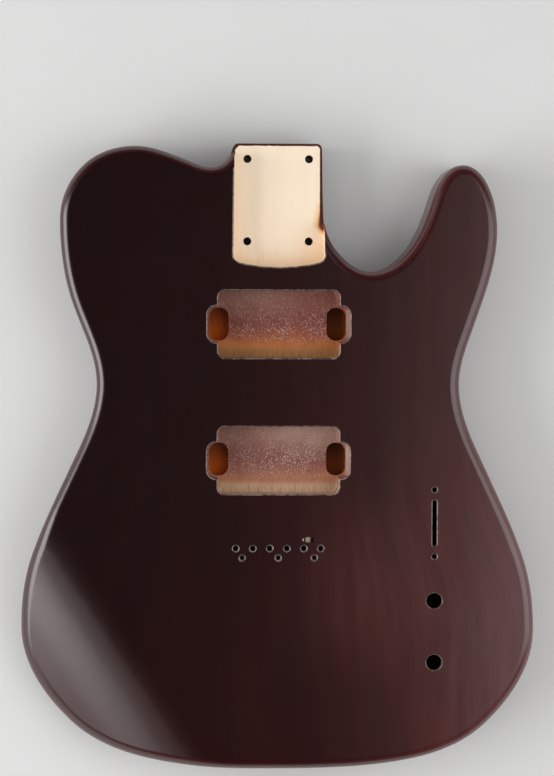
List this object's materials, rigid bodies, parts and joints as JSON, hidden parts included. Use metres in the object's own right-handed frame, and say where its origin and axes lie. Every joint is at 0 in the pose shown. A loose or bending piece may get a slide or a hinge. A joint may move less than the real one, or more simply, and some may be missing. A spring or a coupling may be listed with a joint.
{
  "type": "electric guitar body",
  "caption": "Bare single-cutaway electric guitar body of chambered wood, routed for a bolt-on neck, pickups, a through-body bridge and rear-mounted controls behind a screwed cover.",
  "frame": {"origin": "on the flat back face, on the centreline at mid-length", "axes": "+Z out of the front face, +Y along the centreline to the neck, +X to the treble side"},
  "size_m": [0.3172, 0.386, 0.0444],
  "materials": {
    "front_plate": "dark burgundy-brown satin over flat-sawn grain",
    "core": "dark burgundy-brown satin outside, bare blonde wood in the pocket and routes",
    "cover": "black, lightly textured",
    "screws": "bright, cross recess"
  },
  "bodies": {
    "root": {"top_bass": "front_plate", "top_treble": "front_plate", "core_bass": "core", "core_treble": "core", "control_cover": "cover", "cover_screw_1": "screws", "cover_screw_2": "screws", "cover_screw_3": "screws", "cover_screw_4": "screws", "cover_screw_5": "screws", "cover_screw_6": "screws"}
  },
  "joints": []
}
